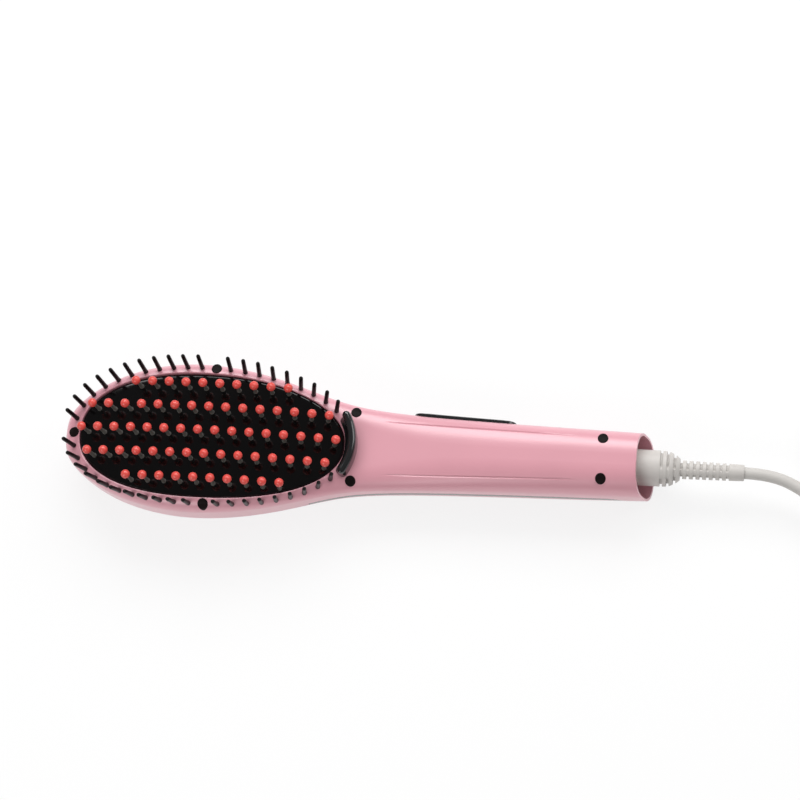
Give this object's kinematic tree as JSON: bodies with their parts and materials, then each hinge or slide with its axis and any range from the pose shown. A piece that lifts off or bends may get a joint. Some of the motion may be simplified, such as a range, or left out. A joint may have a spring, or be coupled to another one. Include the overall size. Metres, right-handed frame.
{
  "type": "heated straightening brush",
  "caption": "Heated straightening brush: oval head with ball-tipped heated pins inside a rim of slim bristles, display on the back, side buttons and a swivelling cord.",
  "frame": {"origin": "under the middle of the brush, on the surface it lies on (its back and lens at z = 0)", "axes": "+X along the brush towards the cord, +Y towards the button side, +Z towards the bristles"},
  "size_m": [0.5175, 0.1003, 0.0423],
  "materials": {
    "shell_pink": "smooth semi-gloss moulding",
    "trim_black": "polished black",
    "plate_black": "glossy black coating on die-cast metal",
    "pin_grey": "satin coated metal",
    "tip_coral": "smooth heat-proof tip, slight gloss",
    "bristle_black": "nylon, satin",
    "plug_black": "matte rubber plugs",
    "lens_black": "polished black window",
    "lcd_blue": "lit blue display glass",
    "inner_white": "plain moulding",
    "inner_dark": "heat-proof moulding",
    "board_green": "solder mask",
    "screw_steel": "zinc plated",
    "heater_metal": "extruded, wrapped in film",
    "sensor_glass": "glass bead in a sleeve",
    "contact_brass": "bare metal",
    "boot_grey": "matte warm grey",
    "cord_grey": "matte warm grey sheath",
    "pin_nickel": "nickel-plated brass"
  },
  "bodies": {
    "brush": {"front_shell": "shell_pink", "back_shell": "shell_pink", "seam_band": "trim_black", "button_strip": "trim_black", "button_switches": "inner_dark", "button_board": "board_green", "display_lens": "lens_black", "lcd_panel": "lcd_blue", "lcd_case": "inner_white", "main_board": "board_green", "board_screws": "screw_steel", "heating_plate": "plate_black", "heating_pins": "pin_grey", "pin_tips": "tip_coral", "plate_carrier": "inner_dark", "ptc_heater": "heater_metal", "heater_clamp": "screw_steel", "clamp_screws": "screw_steel", "thermistor": "sensor_glass", "thermal_fuse": "screw_steel", "bristle_ring": "bristle_black", "rim_bristles": "bristle_black", "plate_guard": "trim_black", "casing_screws": "screw_steel", "screw_plugs": "plug_black", "swivel_bush": "inner_white", "contact_blades": "contact_brass", "contact_block": "inner_dark", "cord_lead": "cord_grey", "cord_coil": "cord_grey", "cord_tail": "cord_grey", "plug_body": "boot_grey", "plug_pins": "pin_nickel"},
    "power_key": {"power_button": "trim_black", "power_plunger": "inner_white"},
    "plus_key": {"plus_button": "trim_black", "plus_plunger": "inner_white"},
    "minus_key": {"minus_button": "trim_black", "minus_plunger": "inner_white"},
    "swivel": {"swivel_spindle": "inner_dark", "slip_rings": "contact_brass", "swivel_boot": "boot_grey"}
  },
  "joints": [
    {"name": "power_press", "type": "slide", "parent": "brush", "child": "power_key", "axis": [0, -1, 0], "range_m": [0, 0.0006], "stiffness_N_per_m": 2500},
    {"name": "plus_press", "type": "slide", "parent": "brush", "child": "plus_key", "axis": [0, -1, 0], "range_m": [0, 0.0006], "stiffness_N_per_m": 2500},
    {"name": "minus_press", "type": "slide", "parent": "brush", "child": "minus_key", "axis": [0, -1, 0], "range_m": [0, 0.0006], "stiffness_N_per_m": 2500},
    {"name": "cord_swivel", "type": "hinge", "parent": "brush", "child": "swivel", "pos_m": [0.1375, 0, 0.0146], "axis": [1, 0, 0], "continuous": true}
  ]
}
